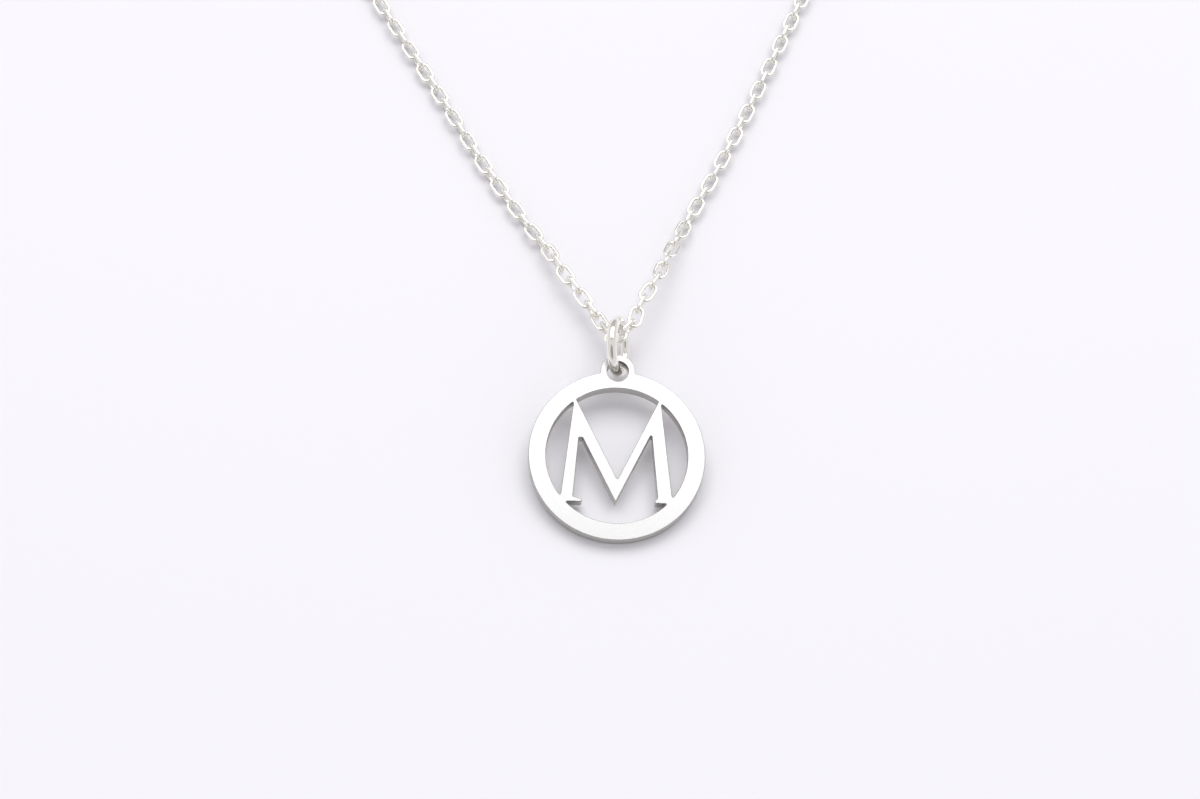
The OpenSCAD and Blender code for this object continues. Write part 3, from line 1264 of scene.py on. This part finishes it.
@dataclass
class Studio:
    """The plain pale floor, the soft light, the room and the camera.

    Attributes:
        floor_size: side of the floor, in metres.
        camera_at: the camera, from the middle of the plate, in millimetres.
        azimuth: turn of the view from straight up the plate, in degrees.
        elevation: height of the view above the floor, in degrees.
        roll: roll of the camera, in degrees.
        lens: focal length, in millimetres.
        sensor: width of the camera's sensor, in millimetres.
        clip: nearest and farthest distance that it sees, in metres.
        window_angle: height and side angle of the middle of the large light, in degrees.
        window_distance: its distance, in metres.
        window_size: its width and height, in metres.
        window_power: its power, in watts.
        sides: the room's light, by how far aside a direction goes.
        overhead: its light overhead and behind the viewer, by how far a direction goes up the
            plate.
        viewer: direction to the viewer, who stands in the light.
        shadow: share of the light that is left, by how near a direction is to the viewer's.
        tint: colour of the room's light.
        backdrop: light of the plain room that shows past the floor.
    """

    floor_size: float = 8.0
    camera_at: tuple[float, float, float] = (-8.823, -74.129, 165.456)
    azimuth: float = 5.510
    elevation: float = 64.290
    roll: float = 6.643
    lens: float = 75.33
    sensor: float = 36.0
    clip: tuple[float, float] = (0.001, 50.0)
    window_angle: tuple[float, float] = (60.0, 3.0)
    window_distance: float = 0.9
    window_size: tuple[float, float] = (1.0, 0.65)
    window_power: float = 4.9
    sides: Fade = Fade(0.2, 0.7, 0.5, 0.76)
    overhead: Fade = Fade(0.35, -0.1, 0.0, 0.76)
    viewer: tuple[float, float, float] = (-0.05, -0.7, 0.71)
    shadow: Fade = Fade(0.86, 0.93, 1.0, 0.45)
    tint: tuple[float, float, float, float] = (1.0, 0.99, 1.0, 1.0)
    backdrop: float = 0.9

    def floor(self) -> None:
        """Lays the floor."""
        half = self.floor_size / 2 / MM
        signs = ((-1, -1), (1, -1), (1, 1), (-1, 1))
        corners = [np.array([x * half, y * half, 0.0]) for x, y in signs]
        piece_from("Floor", corners, [(0, 1, 2, 3)], [PaperFinish().material()])

    def window(self) -> None:
        """Hangs the one large soft light behind the pendant, as from a window."""
        height, side = (math.radians(a) for a in self.window_angle)
        level = math.cos(height)
        toward = Vector((math.sin(side) * level, math.cos(side) * level, math.sin(height)))
        lamp = bpy.data.lights.new("Window", "AREA")
        lamp.shape = "RECTANGLE"
        lamp.size, lamp.size_y = self.window_size
        lamp.energy = self.window_power
        light = bpy.data.objects.new("Window", lamp)
        light.location = Vector(MIDDLE * MM) + toward * self.window_distance
        light.rotation_euler = toward.to_track_quat("Z", "Y").to_euler()
        light.visible_camera = False
        bpy.context.scene.collection.objects.link(light)

    def room(self) -> None:
        """Lights the room, which the metal mirrors.

        It is dim beyond the pendant, bright overhead, to both sides and behind the viewer, and
        darker where the viewer stands. The plain backdrop shows to the camera alone.
        """
        world = bpy.data.worlds.new("Room")
        bpy.context.scene.world = world
        tree = empty_tree(world)
        place = add_node(tree, "ShaderNodeTexCoord").outputs["Generated"]
        way = add_node(tree, "ShaderNodeSeparateXYZ", links={0: place})
        aside = add_node(tree, "ShaderNodeMath", {"operation": "ABSOLUTE"}, {0: way.outputs["X"]})
        facing = {"operation": "DOT_PRODUCT", 1: self.viewer}
        nearness = add_node(tree, "ShaderNodeVectorMath", facing, {0: place})
        fades = (
            (self.sides, aside.outputs[0]),
            (self.overhead, way.outputs["Y"]),
            (self.shadow, nearness.outputs["Value"]),
        )
        sides, overhead, shadow = (
            add_node(tree, "ShaderNodeMapRange", fade.settings(), {"Value": source}).outputs[0]
            for fade, source in fades
        )
        both = {0: sides, 1: overhead}
        bright = add_node(tree, "ShaderNodeMath", {"operation": "MAXIMUM"}, both)
        both = {0: bright.outputs[0], 1: shadow}
        room = add_node(tree, "ShaderNodeMath", {"operation": "MULTIPLY"}, both)
        strength = {"Strength": room.outputs[0]}
        light = add_node(tree, "ShaderNodeBackground", {"Color": self.tint}, strength).outputs[0]
        paper = {"Color": linear(Tone.PAPER), "Strength": self.backdrop}
        plain = add_node(tree, "ShaderNodeBackground", paper).outputs[0]
        seen = add_node(tree, "ShaderNodeLightPath").outputs["Is Camera Ray"]
        mixed = add_node(tree, "ShaderNodeMixShader", links={0: seen, 1: light, 2: plain})
        add_node(tree, "ShaderNodeOutputWorld", links={"Surface": mixed.outputs[0]})

    def camera(self) -> None:
        """Sets the camera at the photograph's angle."""
        turn, rise, roll = (math.radians(a) for a in (self.azimuth, self.elevation, self.roll))
        level = math.cos(rise)
        ahead = Vector((math.sin(turn) * level, math.cos(turn) * level, -math.sin(rise)))
        right = ahead.cross(Vector(UP)).normalized()
        up = right.cross(ahead)
        x_axis = right * math.cos(roll) + up * math.sin(roll)
        y_axis = up * math.cos(roll) - right * math.sin(roll)
        lens = bpy.data.cameras.new("Camera")
        lens.sensor_fit, lens.sensor_width, lens.lens = "HORIZONTAL", self.sensor, self.lens
        lens.clip_start, lens.clip_end = self.clip
        camera = bpy.data.objects.new("Camera", lens)
        camera.matrix_world = Matrix.Translation(Vector((MIDDLE + self.camera_at) * MM)) @ (
            Matrix((x_axis, y_axis, -ahead)).transposed().to_4x4()
        )
        bpy.context.scene.collection.objects.link(camera)
        bpy.context.scene.camera = camera

    def build(self) -> None:
        """Sets up floor, light, room, camera and a plain view of the colours."""
        self.floor()
        self.window()
        self.room()
        self.camera()
        bpy.context.scene.view_settings.view_transform = "Standard"
        log.info("studio ready")


def main() -> None:
    """Builds the pieces in order and sets the studio."""
    logging.basicConfig(level=logging.INFO, format="%(name)s: %(message)s")
    builders: tuple[Callable[[], None], ...] = (
        Studio().build,
        PendantPlate().build,
        JumpRing().build,
        CableChain().build,
        BoltRing().build,
    )
    for build in builders:
        build()


if __name__ == "__main__":
    main()
